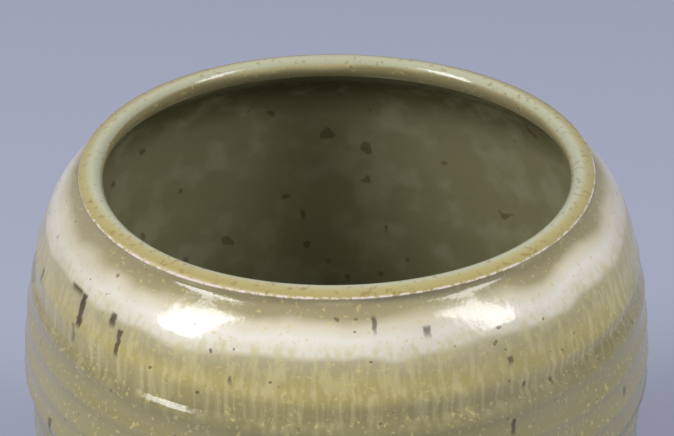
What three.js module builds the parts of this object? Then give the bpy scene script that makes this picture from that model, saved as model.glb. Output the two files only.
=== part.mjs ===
// A wheel-thrown stoneware water jar with a wide open mouth, in millimetres, +Z up.
// The origin is the centre of the foot ring's resting face.
// It is one fired clay wall under two coats of glaze: one dipped outside, one poured inside.
import * as THREE from "three";

// Driving dimensions.
const height = 168; // foot to the crown of the lip
const lipRadius = 75; // the lip's sharp outer edge
const bodyRadius = 92.2; // the widest ridge, at the foot of the shoulder
const wall = 7; // clay and both glazes together
const glaze = 0.8; // thickness of either coat of glaze
const lipWidth = 7; // from the sharp outer edge to the mouth's inner side
const lipDrop = 1.6; // how far the outer edge lies under the crown
const lipRoll = 6.2; // depth of the rounded inner side of the lip
const neckDepth = 1; // how far the neck is cut in under the lip's edge
const neckDrop = 2.5; // from the lip's edge to the deepest part of the neck
const shoulderDrop = 56; // from the lip's edge down to the widest ridge
const ridgeStep = 1.2; // how far the widest ridge stands out over the wall below it
const bellyRadius = 88; // of the lower wall, above its turn to the foot
const bellyHeight = 36;
const footRadius = 58; // outside of the foot ring
const footHeight = 7;
const footWidth = 8; // of the ring that the jar stands on
const footRecess = 4.5; // from the resting face up to the turned base
const floorHeight = 14; // from the resting face up to the floor inside
const ringPitch = 9.3; // between throwing rings
const ringDepth = 0.45; // half the height of a throwing ring
const glazeLine = 9; // where the outside glaze stops above the resting face
const turns = 40; // facets round the jar
const clear = 0.3; // gap between the clay and either glaze

const lipEdge = height - lipDrop;
const widest = lipEdge - shoulderDrop;
const mouthRadius = lipRadius - lipWidth;
const neckRadius = lipRadius - neckDepth;

// The shoulder is a quarter of an oval from the neck to the widest ridge.
function shoulder(steps) {
  const points = [];
  const top = lipEdge - neckDrop;
  for (let i = 1; i <= steps; i++) {
    const t = (i / steps) * (Math.PI / 2);
    const r = neckRadius + (bodyRadius - neckRadius) * Math.sin(t);
    points.push(new THREE.Vector2(r, top - (top - widest) * (1 - Math.cos(t))));
  }
  return points;
}

// The lower wall runs almost upright, marked by throwing rings, then turns in to the foot.
function lowerWall() {
  const points = [];
  const half = Math.max(2, Math.round((widest - bellyHeight) / ringPitch) * 2);
  for (let i = 1; i <= half; i++) {
    const share = i / half;
    const z = widest + (bellyHeight - widest) * share;
    const ripple = i % 2 ? -ringDepth : ringDepth;
    const r = bodyRadius - ridgeStep + (bellyRadius + ridgeStep - bodyRadius) * share;
    points.push(new THREE.Vector2(r + ripple, z));
  }
  const turnIn = new THREE.QuadraticBezierCurve(
    points[points.length - 1],
    new THREE.Vector2(bellyRadius - 4, glazeLine + 7),
    new THREE.Vector2(footRadius + 7, glazeLine),
  );
  points.push(...turnIn.getPoints(5).slice(1));
  return points;
}

// The outside from the glaze line up, over the lip and down to the seam inside the mouth.
function outside() {
  return [
    ...[...shoulder(9), ...lowerWall()].reverse(),
    new THREE.Vector2(neckRadius, lipEdge - neckDrop),
    new THREE.Vector2(lipRadius, lipEdge),
    new THREE.Vector2(mouthRadius + lipWidth * 0.52, height - 0.1),
    new THREE.Vector2(mouthRadius + lipWidth * 0.3, height),
    new THREE.Vector2(mouthRadius + 0.4, height - lipRoll * 0.25),
    new THREE.Vector2(mouthRadius, height - lipRoll * 0.55),
    new THREE.Vector2(mouthRadius + 1.2, height - lipRoll),
  ];
}

// The inside from the seam down to the middle of the floor.
function inside() {
  const upper = new THREE.QuadraticBezierCurve(
    new THREE.Vector2(mouthRadius + 1.2, height - lipRoll),
    new THREE.Vector2(bodyRadius - wall - 3, height - lipRoll - 10),
    new THREE.Vector2(bodyRadius - wall, widest),
  );
  const lower = new THREE.CubicBezierCurve(
    new THREE.Vector2(bellyRadius - wall, bellyHeight + 14),
    new THREE.Vector2(bellyRadius - wall, bellyHeight - 8),
    new THREE.Vector2(footRadius + 14, floorHeight + 1),
    new THREE.Vector2(footRadius - 6, floorHeight),
  );
  return [...upper.getPoints(5), ...lower.getPoints(5), new THREE.Vector2(0, floorHeight)];
}

// The line moved to its left by one distance everywhere, with its corners kept square.
function offset(line, distance) {
  return line.map((point, i) => {
    const sides = [];
    if (i > 0) sides.push(point.clone().sub(line[i - 1]).normalize());
    if (i < line.length - 1) sides.push(line[i + 1].clone().sub(point).normalize());
    const normals = sides.map((side) => new THREE.Vector2(-side.y, side.x));
    const middle = normals[0].clone().add(normals[normals.length - 1]).normalize();
    const moved = point.clone().addScaledVector(middle, distance / middle.dot(normals[0]));
    if (point.x === 0) moved.x = 0;
    return moved;
  });
}

const outsideLine = outside();
const insideLine = inside();
const surface = [...outsideLine, ...insideLine.slice(1)];
const seam = outsideLine.length - 1;

// A profile that runs anticlockwise, closed on itself or ended on the axis, turned round the axis.
function turned(name, profile, material) {
  const closed = [...profile];
  if (closed[0].x !== 0 || closed[closed.length - 1].x !== 0) closed.push(closed[0].clone());
  const geometry = new THREE.LatheGeometry(closed, turns);
  geometry.rotateX(Math.PI / 2);
  const mesh = new THREE.Mesh(geometry, material);
  mesh.name = name;
  return mesh;
}

const stoneware = new THREE.MeshStandardMaterial({ color: 0x9b7d5c, roughness: 0.85, metalness: 0 });
const ashGlaze = new THREE.MeshStandardMaterial({ color: 0xbfb07c, roughness: 0.16, metalness: 0 });
const linerGlaze = new THREE.MeshStandardMaterial({ color: 0xb4b795, roughness: 0.2, metalness: 0 });

function stonewareBody() {
  const ringInside = footRadius - footWidth;
  const foot = [
    new THREE.Vector2(0, footRecess + 0.6),
    new THREE.Vector2(ringInside - 2, footRecess),
    new THREE.Vector2(ringInside, 1),
    new THREE.Vector2(ringInside + 1, 0),
    new THREE.Vector2(footRadius - 1.2, 0),
    new THREE.Vector2(footRadius, 1.2),
    new THREE.Vector2(footRadius + 0.4, footHeight - 1),
    new THREE.Vector2(footRadius + 3, footHeight),
  ];
  return turned("stoneware_body", [...foot, ...offset(surface, glaze + clear)], stoneware);
}

function outerGlaze() {
  const front = surface.slice(0, seam + 1);
  const back = offset(surface, glaze).slice(0, seam + 1).reverse();
  return turned("outer_glaze", [...front, ...back], ashGlaze);
}

function liningGlaze() {
  const front = surface.slice(seam);
  const back = offset(surface, glaze).slice(seam);
  const gap = front[1].clone().sub(front[0]).setLength(clear);
  front[0] = front[0].clone().add(gap);
  back[0] = back[0].clone().add(gap);
  return turned("lining_glaze", [...back.reverse(), ...front], linerGlaze);
}

const jar = new THREE.Group();
jar.add(stonewareBody(), outerGlaze(), liningGlaze());

export default jar;
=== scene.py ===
# %% [markdown]
# A wheel-thrown water jar in stoneware, finished with a runny ash glaze.
# The imported jar is loaded first. Each finer piece made below stands for one of its nodes, so the
# two have to share one place and one size. The imported box is kept.

import math

import bpy
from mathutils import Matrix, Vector


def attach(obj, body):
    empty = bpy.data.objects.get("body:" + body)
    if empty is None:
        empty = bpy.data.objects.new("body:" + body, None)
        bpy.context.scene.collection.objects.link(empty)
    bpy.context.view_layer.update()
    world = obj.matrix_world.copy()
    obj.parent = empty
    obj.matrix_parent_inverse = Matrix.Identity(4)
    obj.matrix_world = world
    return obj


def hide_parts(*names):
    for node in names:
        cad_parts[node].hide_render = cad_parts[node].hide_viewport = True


MM = 0.001

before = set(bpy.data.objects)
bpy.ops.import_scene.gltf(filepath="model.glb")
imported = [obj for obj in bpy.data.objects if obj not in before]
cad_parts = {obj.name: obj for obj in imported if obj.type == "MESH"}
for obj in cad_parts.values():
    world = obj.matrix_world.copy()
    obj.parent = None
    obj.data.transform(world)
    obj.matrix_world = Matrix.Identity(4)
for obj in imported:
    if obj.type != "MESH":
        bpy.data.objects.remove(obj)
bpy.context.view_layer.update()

# %% [markdown]
# A thrown jar is known by its section, the line that the potter's hand draws as the wheel turns.
# It could be sculpted from a cylinder, but a spun section keeps every wall true to the wheel.
# Points are radius and height in millimetres, from the resting face. The outside goes first,
# from the edge of the glaze above the foot up to the sharp outer edge of the lip.

# %% The outside of the section
TURN_TO_FOOT = [(65.0, 9.2), (71.5, 12.6), (77.4, 17.2), (82.0, 23.0), (85.4, 29.5), (87.0, 36.0)]
LOWER_WALL = [(87.4, 45.0), (88.4, 56.0), (89.2, 68.0), (89.6, 80.0), (90.2, 92.0), (90.4, 99.0)]
WIDEST_RIDGE = [(91.2, 101.6), (92.1, 103.4), (92.2, 105.5), (92.1, 110.4)]
GROOVED_SHOULDER = [(91.8, 116.0), (91.2, 122.4), (90.6, 128.0), (89.7, 133.4), (88.5, 136.5)]
UPPER_SHOULDER = [
    (88.6, 138.6), (87.7, 143.4), (86.4, 147.8), (85.2, 151.0), (84.3, 153.0),
    (83.0, 155.4), (81.0, 158.2), (78.8, 160.6), (76.4, 162.6),
]
NECK = [(74.6, 164.2), (74.3, 165.3)]
OUTSIDE = TURN_TO_FOOT + LOWER_WALL + WIDEST_RIDGE + GROOVED_SHOULDER + UPPER_SHOULDER + NECK

print("widest radius", max(radius for radius, height in OUTSIDE))

# %% [markdown]
# The lip is rolled over and pressed, which leaves a sharp outer edge, a low crown and a round
# inner side. Under it the wall is hollowed out. The glaze's two coats meet there, out of sight.

# %% The lip and the inside of the section
LIP = [
    (74.95, 166.35), (74.2, 166.9), (73.0, 167.4), (71.5, 167.85), (70.2, 167.9), (69.1, 167.4),
    (68.3, 166.5), (68.0, 165.4), (68.1, 164.2), (68.6, 162.9), (69.3, 161.8),
]
UNDERCUT = [(72.4, 158.8), (76.0, 155.4), (79.0, 150.4), (81.2, 144.0), (82.8, 136.0)]
INNER_WALL = [
    (83.9, 126.0), (84.6, 114.0), (84.2, 100.0), (83.2, 84.0),
    (82.0, 68.0), (80.9, 52.0), (79.4, 38.0),
]
INNER_FLOOR = [(75.4, 27.0), (68.0, 19.2), (60.0, 15.6), (52.0, 14.2), (30.0, 14.05), (0.0, 14.0)]
INSIDE = [LIP[-1]] + UNDERCUT + INNER_WALL + INNER_FLOOR

print("mouth radius", min(radius for radius, height in LIP))

# %% [markdown]
# The foot is cut with a tool once the clay is firm: a ring to stand on around a shallow recess.

# %% The foot of the section
RECESS = [(0.0, 5.1), (30.0, 4.9), (48.0, 4.6), (50.0, 3.4), (50.4, 1.2)]
STANDING_RING = [(51.2, 0.3), (52.4, 0.0), (56.4, 0.0), (57.6, 0.6), (58.0, 1.6), (58.4, 5.6)]
BARE_EDGE = [(60.6, 7.2), (64.6, 9.0)]
FOOT = RECESS + STANDING_RING + BARE_EDGE

print("the jar stands on a ring out to radius", STANDING_RING[-1][0])

# %% [markdown]
# A potter's line has no corners, so a smooth curve is led through the points. A Catmull-Rom
# curve is used because it passes through every point, which a Bezier's handles would not.

# %% The section made smooth
OUTSIDE_STEP = 1.1
INSIDE_STEP = 1.6


def smooth_line(points, step):
    """A Catmull-Rom curve through the points, cut at about one step."""
    curve = []
    for i in range(len(points) - 1):
        before = Vector(points[max(i - 1, 0)])
        start = Vector(points[i])
        end = Vector(points[i + 1])
        after = Vector(points[min(i + 2, len(points) - 1)])
        cuts = max(1, int((end - start).length / step))
        for k in range(cuts):
            t = k / cuts
            twice = (
                2 * start
                + (end - before) * t
                + (2 * before - 5 * start + 4 * end - after) * t * t
                + (3 * start - before - 3 * end + after) * t * t * t
            )
            curve.append(twice * 0.5)
    curve.append(Vector(points[-1]))
    return [(point.x, point.y) for point in curve]


outside_line = smooth_line(OUTSIDE + LIP, OUTSIDE_STEP)
inside_line = smooth_line(INSIDE, INSIDE_STEP)
print("points in the smooth section", len(outside_line), len(inside_line))

# %% [markdown]
# Every coat needs a back, and the clay starts behind it. The same line is moved into the wall.

# %% The section moved into the wall
GLAZE_THICKNESS = 0.8
CLAY_DEPTH = 1.0


def into_the_wall(line, depth):
    """The line moved into the wall by a depth in millimetres. Its ends on the axis stay there."""
    moved = []
    for i, (radius, height) in enumerate(line):
        radius_before, height_before = line[max(i - 1, 0)]
        radius_after, height_after = line[min(i + 1, len(line) - 1)]
        along = Vector((radius_after - radius_before, height_after - height_before)).normalized()
        new_radius = 0.0 if radius == 0 else max(0.0, radius - along.y * depth)
        moved.append((new_radius, height + along.x * depth))
    return moved


print("clay behind the glaze by", round(CLAY_DEPTH - GLAZE_THICKNESS, 2))

# %% [markdown]
# Fingers leave a ridge as the wheel turns. It climbs, because the hand rises while the clay
# goes round, so the ridge is one slow spiral and stands higher on one side than on the other.

# %% The throwing ridges
RIDGE_PITCH = 9.3
RIDGE_HEIGHT = 0.75
RIDGE_SINK = 0.45
RIDGE_SHARPNESS = 2.2
RIDGES_START = 22
RIDGES_FULL_OVER = 20
RIDGES_END = 150
RIDGES_FADE_OVER = 12


def throwing_ridge(height, angle):
    """How far the spiral ridge moves the wall outwards, in millimetres."""
    fade_in = min(1.0, max(0.0, (height - RIDGES_START) / RIDGES_FULL_OVER))
    fade_out = min(1.0, max(0.0, (RIDGES_END - height) / RIDGES_FADE_OVER))
    turn = (height / RIDGE_PITCH + angle / (2 * math.pi)) % 1.0
    ridge = (0.5 + 0.5 * math.cos(2 * math.pi * turn)) ** RIDGE_SHARPNESS
    return fade_in * fade_out * (ridge * RIDGE_HEIGHT - RIDGE_SINK)


print("ridge at mid height, front", round(throwing_ridge(80, -math.pi / 2), 2))

# %% [markdown]
# No hand-thrown mouth is a true circle. Two, three and four slow waves round the rim make it
# uneven by a fraction of a millimetre, and they die away down the wall.

# %% The uneven rim
RIM_WAVES = {2: (-0.19, 0.17), 3: (0.30, 0.20), 4: (-0.40, 0.0)}
RIM_TUCK = 0.35
UNEVEN_FROM = 60
UNEVEN_OVER = 90


def out_of_round(height, angle):
    """How far the wall is from a circle there, in millimetres."""
    share = min(1.0, max(0.0, (height - UNEVEN_FROM) / UNEVEN_OVER))
    shift = 0.0
    for count, (cosine, sine) in RIM_WAVES.items():
        shift += cosine * math.cos(count * angle) + sine * math.sin(count * angle)
    return share * (shift - RIM_TUCK)


print("rim at the front", round(out_of_round(165, -math.pi / 2), 2))

# %% [markdown]
# Each piece is its section spun round the axis in edit mode, as the clay was on the wheel.
# The spin's last copy lies on its first, so doubles are merged, and only then are the faces
# turned to point outwards. The hand's marks are given to the points last.

# %% The wheel
FACETS = 192
SAME_POINT = 0.00002
SHARP_ANGLE = math.radians(50)
NEAR_AXIS = 1
FOOT_REACH = 60


def mark_by_hand(mesh, ridged):
    """Each point takes its share of the uneven rim and, on a ridged piece, of the ridges."""
    for vertex in mesh.vertices:
        x, y, height = vertex.co / MM
        radius = math.hypot(x, y)
        if radius < NEAR_AXIS:
            continue
        angle = math.atan2(y, x)
        shift = out_of_round(height, angle)
        if ridged and radius > FOOT_REACH:
            shift += throwing_ridge(height, angle)
        vertex.co.x = x * (radius + shift) / radius * MM
        vertex.co.y = y * (radius + shift) / radius * MM


def thrown_piece(name, line, ridged):
    """The line spun round the jar's axis as one closed mesh."""
    bpy.ops.object.select_all(action="DESELECT")
    mesh = bpy.data.meshes.new(name)
    points = [Vector((radius * MM, 0, height * MM)) for radius, height in line]
    mesh.from_pydata(points, [(i, i + 1) for i in range(len(points) - 1)], [])
    piece = bpy.data.objects.new(name, mesh)
    bpy.context.scene.collection.objects.link(piece)
    bpy.context.view_layer.objects.active = piece
    piece.select_set(True)
    bpy.ops.object.mode_set(mode="EDIT")
    bpy.ops.mesh.select_all(action="SELECT")
    bpy.ops.mesh.spin(steps=FACETS, angle=2 * math.pi, center=(0, 0, 0), axis=(0, 0, 1))
    bpy.ops.mesh.select_all(action="SELECT")
    bpy.ops.mesh.remove_doubles(threshold=SAME_POINT)
    bpy.ops.mesh.normals_make_consistent(inside=False)
    bpy.ops.object.mode_set(mode="OBJECT")
    mark_by_hand(mesh, ridged)
    bpy.ops.object.shade_smooth_by_angle(angle=SHARP_ANGLE)
    piece.select_set(False)
    print(name, len(mesh.polygons), "faces")
    return piece


# %% [markdown]
# The outside coat is what the jar was dipped in. It is a closed skin under a millimetre thick,
# from its edge above the foot, over the lip, to the seam inside the mouth. A Solidify modifier
# could thicken a sheet too, but a back drawn from the same line keeps an even gap to the clay.

# %% The outside coat
outer_back = into_the_wall(outside_line, GLAZE_THICKNESS)
outer_glaze = thrown_piece(
    "outer_glaze_skin", outside_line + outer_back[::-1] + outside_line[:1], True
)

# %% [markdown]
# The lining is poured in and swilled round. It runs from the seam to the middle of the floor,
# and is left smooth, as a wall wiped with a sponge is.

# %% The lining
lining_back = into_the_wall(inside_line, GLAZE_THICKNESS)
lining_glaze = thrown_piece(
    "lining_glaze_skin", inside_line + lining_back[::-1] + inside_line[:1], False
)

# %% [markdown]
# The clay is one wall behind both coats. It comes out into the open only at the turned foot.
# The ridges move its hidden inner side too, by less than the lining's thickness covers.

# %% The clay wall
clay_line = FOOT + into_the_wall(outside_line, CLAY_DEPTH)
clay_line += into_the_wall(inside_line, CLAY_DEPTH)[1:]
clay_wall = thrown_piece("clay_wall", clay_line, True)

# %% [markdown]
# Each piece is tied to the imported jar: it rides on the one body, hides the plain node that it
# stands for, and takes that node's material slot.

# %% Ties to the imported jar
for piece, node, slot in (
    (clay_wall, "stoneware_body", "stoneware"),
    (outer_glaze, "outer_glaze", "ash_glaze"),
    (lining_glaze, "lining_glaze", "lining"),
):
    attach(piece, "root")
    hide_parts(node)
    print(piece.name, "stands for", node)

# %% [markdown]
# Colours are picked as sRGB hex codes, as in any drawing program, but Blender mixes light in
# linear values. One function turns them, and one other adds a node with its settings and links.

# %% Helpers for the finishes


def linear(code):
    """The linear colour of an sRGB hex code."""
    parts = [int(code[i:i + 2], 16) / 255 for i in (0, 2, 4)]
    bent = [c / 12.92 if c <= 0.04045 else ((c + 0.055) / 1.055) ** 2.4 for c in parts]
    return (*bent, 1.0)


def add(tree, kind, inputs, output=0, stops=(), **settings):
    """Adds a node with its settings, inputs and any colour stops, and gives one output back."""
    node = tree.nodes.new("ShaderNode" + kind)
    for key, value in settings.items():
        setattr(node, key, value)
    for socket, value in inputs.items():
        if isinstance(value, bpy.types.NodeSocket):
            tree.links.new(value, node.inputs[socket])
        else:
            node.inputs[socket].default_value = value
    for i, (position, code) in enumerate(stops):
        elements = node.color_ramp.elements
        if i == 0:
            elements.remove(elements[0])
            elements[0].position = position
        stop = elements[0] if i == 0 else elements.new(position)
        stop.color = linear(code)
    return node.outputs[output]


print("mid grey is", round(linear("808080")[0], 3), "in linear light")

# %% [markdown]
# Patterns are placed in real millimetres on the jar. Most of them need the same two things:
# a share that rises softly between two limits, and flecks scattered over a colour.

# %% Helpers for patterns


NOISE_MIDDLE = 0.5


def new_finish(name):
    """A material with its tree, its shader and the place on the jar in millimetres."""
    material = bpy.data.materials.new(name)
    material.use_nodes = True
    tree = material.node_tree
    metres = add(tree, "TexCoord", {}, "Object")
    place = add(tree, "VectorMath", {0: metres, "Scale": 1 / MM}, operation="SCALE")
    return material, tree, tree.nodes["Principled BSDF"], place


def where(tree, *limits, strength=1.0):
    """The strength, where each value has gone from its first limit to its second, and else less."""
    share = strength
    for value, none, full in limits:
        step = add(
            tree, "MapRange", {"Value": value, "From Min": none, "From Max": full},
            interpolation_type="SMOOTHSTEP",
        )
        share = add(tree, "Math", {0: share, 1: step}, operation="MULTIPLY")
    return share


def scatter(tree, place, under, code, grain, none, full, strength):
    """Flecks of one colour over another. The grain is noise per millimetre and its detail."""
    per_mm, detail = grain
    cloud = add(tree, "TexNoise", {"Vector": place, "Scale": per_mm, "Detail": detail})
    share = where(tree, (cloud, none, full), strength=strength)
    return add(tree, "Mix", {0: share, 6: under, 7: linear(code)}, 2, data_type="RGBA")


print("patterns are placed at", 1 / MM, "to the metre")

# %% [markdown]
# Ash glaze melts and creeps down in the kiln, so its colour goes by height: milky where it
# gathers under the lip, then yellow-green. The neck just under the lip's edge is a darker
# grey-tan. Below the widest ridge the colour is painted darker and duller, as painted shade under
# the ridge's overhang, and that goes on down the lower wall. The edges of the bands wander, as
# no glaze stops at a ruled line.

# %% Bands of the ash glaze, with painted shade below the widest ridge
BANDS_FROM = 60.0
BANDS_TO = 170.0
BAND_WANDER = 6.0
BAND_NOISE = {"Scale": 0.05, "Detail": 2.0}
# The stops up to 0.36, below the widest ridge, are painted shade. The stops from 0.93 to 0.955 are
# the darker neck.
BAND_COLOURS_AND_SHADE = [
    (0.00, "8d8660"), (0.28, "918a62"), (0.36, "8a8158"), (0.46, "9d9362"), (0.62, "9a8f5e"),
    (0.68, "8c8256"), (0.72, "a89a5e"), (0.78, "b9aa68"), (0.815, "b1a67a"), (0.835, "b6ac86"),
    (0.85, "e6ddc6"), (0.885, "eee8d8"), (0.91, "ddd2b4"), (0.93, "a3986e"), (0.955, "968a62"),
    (0.97, "c0b483"), (1.00, "bfb282"),
]


def wandering_height(tree, place, height):
    """The height, moved up and down by slow noise."""
    cloud = add(tree, "TexNoise", {"Vector": place, **BAND_NOISE})
    centred = add(tree, "Math", {0: cloud, 1: NOISE_MIDDLE}, operation="SUBTRACT")
    return add(tree, "Math", {0: centred, 1: BAND_WANDER, 2: height}, operation="MULTIPLY_ADD")


def glaze_bands_and_shade(tree, height):
    """The glaze's colour by height, with painted shade below the widest ridge."""
    share = add(tree, "MapRange", {"Value": height, "From Min": BANDS_FROM, "From Max": BANDS_TO})
    return add(tree, "ValToRGB", {"Fac": share}, "Color", BAND_COLOURS_AND_SHADE)


print(len(BAND_COLOURS_AND_SHADE), "colours from height", BANDS_FROM, "to", BANDS_TO)

# %% [markdown]
# Below the milky band the glaze has run in thin streaks. Noise drawn out along the height
# gives them: ten times longer than wide. Pale flecks, dark iron specks and a slow change of
# tone lie over all of it.

# %% Streaks and flecks
STREAK_STRETCH = (0.5, 0.5, 0.05)
STREAKS_BOTTOM = (128.0, 142.0)
STREAKS_TOP = (158.0, 153.0)
STREAK_STRENGTH = 0.6


def shoulder_streaks(tree, place, height, bands):
    """Pale streaks that run down the shoulder."""
    drawn_out = add(tree, "VectorMath", {0: place, 1: STREAK_STRETCH}, operation="MULTIPLY")
    streaked = scatter(tree, drawn_out, bands, "cfc48c", (1.0, 4.0), 0.42, 0.66, 1.0)
    share = where(tree, (height, *STREAKS_BOTTOM), (height, *STREAKS_TOP), strength=STREAK_STRENGTH)
    return add(tree, "Mix", {0: share, 6: bands, 7: streaked}, 2, data_type="RGBA")


def flecks_and_tone(tree, place, colour):
    """Pale flecks, dark specks, then a slow drift to grey."""
    colour = scatter(tree, place, colour, "d8c67a", (0.75, 2.0), 0.60, 0.70, 0.55)
    colour = scatter(tree, place, colour, "5a3f22", (0.38, 1.0), 0.73, 0.78, 0.7)
    return scatter(tree, place, colour, "a79d80", (0.018, 2.0), 0.35, 0.7, 0.35)


print("streaks from height", STREAKS_BOTTOM[0], "to", STREAKS_TOP[0])

# %% [markdown]
# Iron in the clay melted through in a few places and ran. Each run has its own angle to the
# right of the front, its top and bottom below the lip's edge, half its width and its strength.

# %% Iron runs
LIP_EDGE = 166.4
IRON_RUNS = [
    (-57.5, -12.8, -14.6, 4.2, 0.9), (-54.6, -13.0, -22.5, 1.5, 0.9),
    (-55.8, -22.0, -28.0, 1.2, 0.5), (-45.3, -12.8, -16.5, 1.6, 0.85),
    (-42.9, -16.0, -23.5, 1.1, 0.8), (7.5, -4.0, -7.5, 0.9, 0.7),
    (17.5, -7.0, -9.5, 1.3, 0.7), (-74.0, -19.5, -24.5, 1.2, 0.7),
    (-19.0, -19.0, -21.5, 0.9, 0.6), (33.0, -18.8, -21.4, 1.1, 0.7),
    (35.5, -27.0, -29.2, 1.0, 0.7), (32.5, -36.5, -41.5, 1.1, 0.75),
    (-62.0, -57.0, -63.5, 1.3, 0.7), (64.0, -48.5, -51.5, 1.3, 0.6),
    (42.0, -29.5, -31.6, 0.9, 0.6),
]
RUN_WOBBLE = 2.5
RUN_NOISE = {"Scale": 0.4, "Detail": 3.0}
RUN_CORE = 0.45
RUN_TOP_SOFTNESS = 0.9
RUN_END_SOFTNESS = 1.2
FACING = (10.0, 30.0)


def iron_run(tree, place, axis_z, sway, run):
    """How much iron shows at each place, for one run."""
    angle, top, bottom, half_width, strength = run
    turn = math.radians(angle)
    sideways = {0: place, 1: (math.cos(turn), math.sin(turn), 0)}
    side = add(tree, "VectorMath", sideways, "Value", operation="DOT_PRODUCT")
    outwards = {0: place, 1: (math.sin(turn), -math.cos(turn), 0)}
    ahead = add(tree, "VectorMath", outwards, "Value", operation="DOT_PRODUCT")
    swayed = add(tree, "Math", {0: sway, 1: RUN_WOBBLE, 2: side}, operation="MULTIPLY_ADD")
    across = add(tree, "Math", {0: swayed}, operation="ABSOLUTE")
    start = LIP_EDGE + top
    end = LIP_EDGE + bottom
    return where(
        tree,
        (across, half_width, half_width * RUN_CORE),
        (ahead, *FACING),
        (axis_z, start, start - RUN_TOP_SOFTNESS),
        (axis_z, end - RUN_END_SOFTNESS, end + RUN_END_SOFTNESS),
        strength=strength,
    )


def iron_runs(tree, place, axis_z, colour):
    """Every run in dark brown over the glaze."""
    cloud = add(tree, "TexNoise", {"Vector": place, **RUN_NOISE})
    sway = add(tree, "Math", {0: cloud, 1: NOISE_MIDDLE}, operation="SUBTRACT")
    most = 0.0
    for run in IRON_RUNS:
        one = iron_run(tree, place, axis_z, sway, run)
        most = add(tree, "Math", {0: most, 1: one}, operation="MAXIMUM")
    return add(tree, "Mix", {0: most, 6: colour, 7: linear("43301c")}, 2, data_type="RGBA")


print(len(IRON_RUNS), "iron runs")

# %% [markdown]
# On the lip the glaze is pale green inside and tan outside, with fine iron specks. Along the
# sharp edge it has pulled back into pale beads, so a broken line of them is drawn there.

# %% The lip's colours
LIP_SPREAD = (67.5, 75.5)
LIP_COLOURS = [
    (0.0, "b3b492"), (0.35, "c2c1a0"), (0.55, "b9ad74"),
    (0.8, "b0a264"), (0.93, "c9b98c"), (1.0, "e0cdb6"),
]
LIP_LINE = (LIP_EDGE - 0.15, LIP_EDGE + 0.25)
BEADS_BOTTOM = (LIP_EDGE - 0.7, LIP_EDGE - 0.2)
BEADS_TOP = (LIP_EDGE + 0.5, LIP_EDGE + 0.1)
BEADS_INNER = (73.4, 74.4)
BEAD_NOISE = {"Scale": 0.55, "Detail": 2.0}
BEAD_LIMITS = (0.42, 0.56)


def lip_colours(tree, place, axis_z, radius, colour):
    """The lip's own colours, from its inner side to its outer edge."""
    inner, outer = LIP_SPREAD
    share = add(tree, "MapRange", {"Value": radius, "From Min": inner, "From Max": outer})
    lip = add(tree, "ValToRGB", {"Fac": share}, "Color", LIP_COLOURS)
    lip = scatter(tree, place, lip, "8a6a3a", (0.5, 3.0), 0.56, 0.68, 0.45)
    on_lip = where(tree, (axis_z, *LIP_LINE))
    return add(tree, "Mix", {0: on_lip, 6: colour, 7: lip}, 2, data_type="RGBA")


def beaded_edge(tree, place, axis_z, radius, colour):
    """Pale beads of glaze along the lip's outer edge."""
    beads = add(tree, "TexNoise", {"Vector": place, **BEAD_NOISE})
    share = where(
        tree,
        (axis_z, *BEADS_BOTTOM),
        (axis_z, *BEADS_TOP),
        (radius, *BEADS_INNER),
        (beads, *BEAD_LIMITS),
    )
    return add(tree, "Mix", {0: share, 6: colour, 7: linear("e8d8cb")}, 2, data_type="RGBA")


print("lip colours from radius", LIP_SPREAD[0], "to", LIP_SPREAD[1])

# %% [markdown]
# Ash glaze is a glass melted onto the clay. That gives the eye a hard, wet shine on a surface
# that is never quite level, so the roughness is low and a slow, shallow bump bends the shine.
# The layers are laid in the order in which they cover each other.

# %% Ash glaze
GLAZE_WAVES = {"Scale": 0.22, "Detail": 2.0}


def ash_glaze():
    """The finish of the outside coat."""
    material, tree, shader, place = new_finish("Glazed stoneware, ash glaze")
    axis_z = add(tree, "SeparateXYZ", {0: place}, "Z")
    flat = add(tree, "VectorMath", {0: place, 1: (1, 1, 0)}, operation="MULTIPLY")
    radius = add(tree, "VectorMath", {0: flat}, "Value", operation="LENGTH")
    height = wandering_height(tree, place, axis_z)
    colour = glaze_bands_and_shade(tree, height)
    colour = shoulder_streaks(tree, place, height, colour)
    colour = flecks_and_tone(tree, place, colour)
    colour = iron_runs(tree, place, axis_z, colour)
    colour = lip_colours(tree, place, axis_z, radius, colour)
    colour = beaded_edge(tree, place, axis_z, radius, colour)
    waves = add(tree, "TexNoise", {"Vector": place, **GLAZE_WAVES})
    bump = add(tree, "Bump", {"Height": waves, "Strength": 0.28, "Distance": 0.0006})
    tree.links.new(colour, shader.inputs["Base Color"])
    tree.links.new(bump, shader.inputs["Normal"])
    shader.inputs["Roughness"].default_value = 0.16
    shader.inputs["Coat Weight"].default_value = 0.25
    shader.inputs["Coat Roughness"].default_value = 0.05
    return material


outer_glaze.data.materials.append(ash_glaze())
print("ash glaze on", outer_glaze.name)

# %% [markdown]
# The lining is a thin grey-green coat over the same clay. It is darker towards the floor, and the
# darkest band, in the hollow under the lip, is painted shade. Cloudy patches and a few brown spots
# of iron lie on the wall.

# %% Lining glaze, with painted shade under the lip
LINING_SPREAD = (14.0, 164.0)
# The dark stop at 0.95, in the hollow under the lip, is painted shade.
LINING_COLOURS_AND_SHADE = [
    (0.0, "6f6a48"), (0.5, "88855f"), (0.85, "8d8a66"), (0.95, "5a5434"), (1.0, "8b8a6a"),
]
LINING_WAVES = {"Scale": 0.12, "Detail": 2.0}


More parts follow.
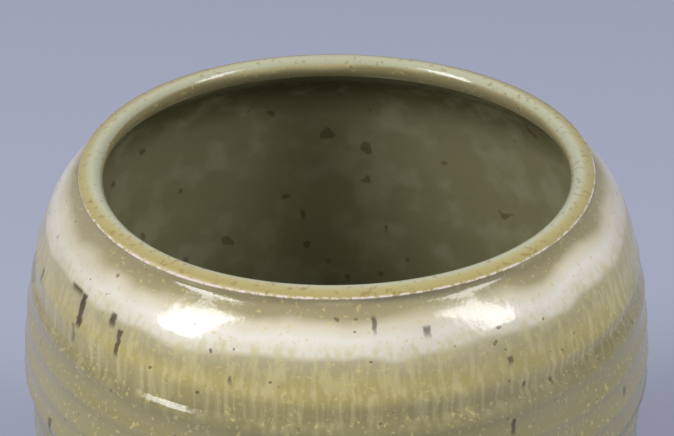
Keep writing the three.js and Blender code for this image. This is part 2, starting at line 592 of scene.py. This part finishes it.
def lining_finish():
    """The finish of the poured coat inside, with painted shade under the lip."""
    material, tree, shader, place = new_finish("Glazed stoneware, lining glaze")
    axis_z = add(tree, "SeparateXYZ", {0: place}, "Z")
    low, high = LINING_SPREAD
    share = add(tree, "MapRange", {"Value": axis_z, "From Min": low, "From Max": high})
    colour = add(tree, "ValToRGB", {"Fac": share}, "Color", LINING_COLOURS_AND_SHADE)
    colour = scatter(tree, place, colour, "a5a483", (0.09, 3.0), 0.45, 0.7, 0.5)
    colour = scatter(tree, place, colour, "4a3a22", (0.16, 1.0), 0.70, 0.76, 0.5)
    waves = add(tree, "TexNoise", {"Vector": place, **LINING_WAVES})
    bump = add(tree, "Bump", {"Height": waves, "Strength": 0.35, "Distance": 0.0008})
    tree.links.new(colour, shader.inputs["Base Color"])
    tree.links.new(bump, shader.inputs["Normal"])
    shader.inputs["Roughness"].default_value = 0.22
    return material


lining_glaze.data.materials.append(lining_finish())
print("lining glaze on", lining_glaze.name)

# %% [markdown]
# Stoneware fired without glaze is dry and faintly gritty. It gives back almost no shine, so it
# is rough, with a fine grain in its colour and surface and a few burnt specks.

# %% Bare clay
CLAY_GRAIN = {"Scale": 0.6, "Detail": 4.0}


def bare_clay():
    """The finish of the unglazed foot."""
    material, tree, shader, place = new_finish("Unglazed fired stoneware")
    grain = add(tree, "TexNoise", {"Vector": place, **CLAY_GRAIN})
    share = where(tree, (grain, 0.35, 0.7))
    tones = {0: share, 6: linear("8f7152"), 7: linear("a98a66")}
    colour = add(tree, "Mix", tones, 2, data_type="RGBA")
    colour = scatter(tree, place, colour, "4d3a28", (0.9, 1.0), 0.68, 0.74, 0.7)
    bump = add(tree, "Bump", {"Height": grain, "Strength": 0.3, "Distance": 0.0003})
    tree.links.new(colour, shader.inputs["Base Color"])
    tree.links.new(bump, shader.inputs["Normal"])
    shader.inputs["Roughness"].default_value = 0.86
    return material


clay_wall.data.materials.append(bare_clay())
print("bare clay on", clay_wall.name)

# %% [markdown]
# The jar stands on plain cool paper, wide enough to fill the picture. It lies half a millimetre
# under the foot, so that the two faces do not fight for the same place.

# %% The floor
FLOOR_SIZE = 30
FLOOR_DROP = 0.0005

bpy.ops.mesh.primitive_plane_add(size=FLOOR_SIZE, location=(0, 0, -FLOOR_DROP))
floor = bpy.context.object
floor.name = "Floor"
paper, _, paper_shader, _ = new_finish("Matte backdrop paper")
paper_shader.inputs["Base Color"].default_value = linear("b2b6c8")
paper_shader.inputs["Roughness"].default_value = 0.9
floor.data.materials.append(paper)
print("floor", FLOOR_SIZE, "m wide")

# %% [markdown]
# Two long soft boxes stand high at the left and right. A glaze is seen mostly by what it
# reflects, and their shape is what draws the two bright patches on the shoulder.

# %% Lamps
LAMP_AIM = (0, 0, 0.12)


def soft_box(name, place, width, length, power):
    """A rectangular lamp that faces the jar."""
    lamp = bpy.data.lights.new(name, "AREA")
    lamp.shape = "RECTANGLE"
    lamp.size = width
    lamp.size_y = length
    lamp.energy = power
    box = bpy.data.objects.new(name, lamp)
    box.location = place
    box.rotation_euler = (Vector(LAMP_AIM) - Vector(place)).to_track_quat("-Z", "Y").to_euler()
    bpy.context.scene.collection.objects.link(box)
    print(name, power, "W")


soft_box("Left box", (-0.95, -0.55, 1.0), width=0.4, length=0.9, power=12)
soft_box("Right box", (0.95, -0.45, 1.0), width=0.35, length=0.8, power=7)

# %% [markdown]
# A low, cool light from all round keeps the shaded side from going black. The plain Standard
# view shows the colours as they were picked.

# %% Light from all round
FILL_STRENGTH = 0.55

world = bpy.data.worlds.new("Studio")
world.use_nodes = True
bpy.context.scene.world = world
background = world.node_tree.nodes["Background"]
background.inputs["Color"].default_value = linear("d9dbe6")
background.inputs["Strength"].default_value = FILL_STRENGTH
bpy.context.scene.view_settings.view_transform = "Standard"
print("fill strength", FILL_STRENGTH)

# %% [markdown]
# The camera looks down into the mouth from close by, through a long lens. Its angle, distance
# and lens are the ones that make the rim's oval and the shoulder's outline fall where they do
# in the reference view.

# %% The camera
SENSOR_WIDTH = 36
LENS = 166.16
CAMERA_DISTANCE = 0.9
CAMERA_AIM = Vector((0.0003, 0, 0.1499))
CAMERA_DOWN = math.radians(28.9)

camera_data = bpy.data.cameras.new("Camera")
camera_data.sensor_width = SENSOR_WIDTH
camera_data.lens = LENS
camera = bpy.data.objects.new("Camera", camera_data)
bpy.context.scene.collection.objects.link(camera)
away = Vector((0, -math.cos(CAMERA_DOWN), math.sin(CAMERA_DOWN)))
camera.location = CAMERA_AIM + away * CAMERA_DISTANCE
camera.rotation_euler = (math.radians(90) - CAMERA_DOWN, 0, 0)
bpy.context.scene.camera = camera
print("camera at", [round(side, 3) for side in camera.location])
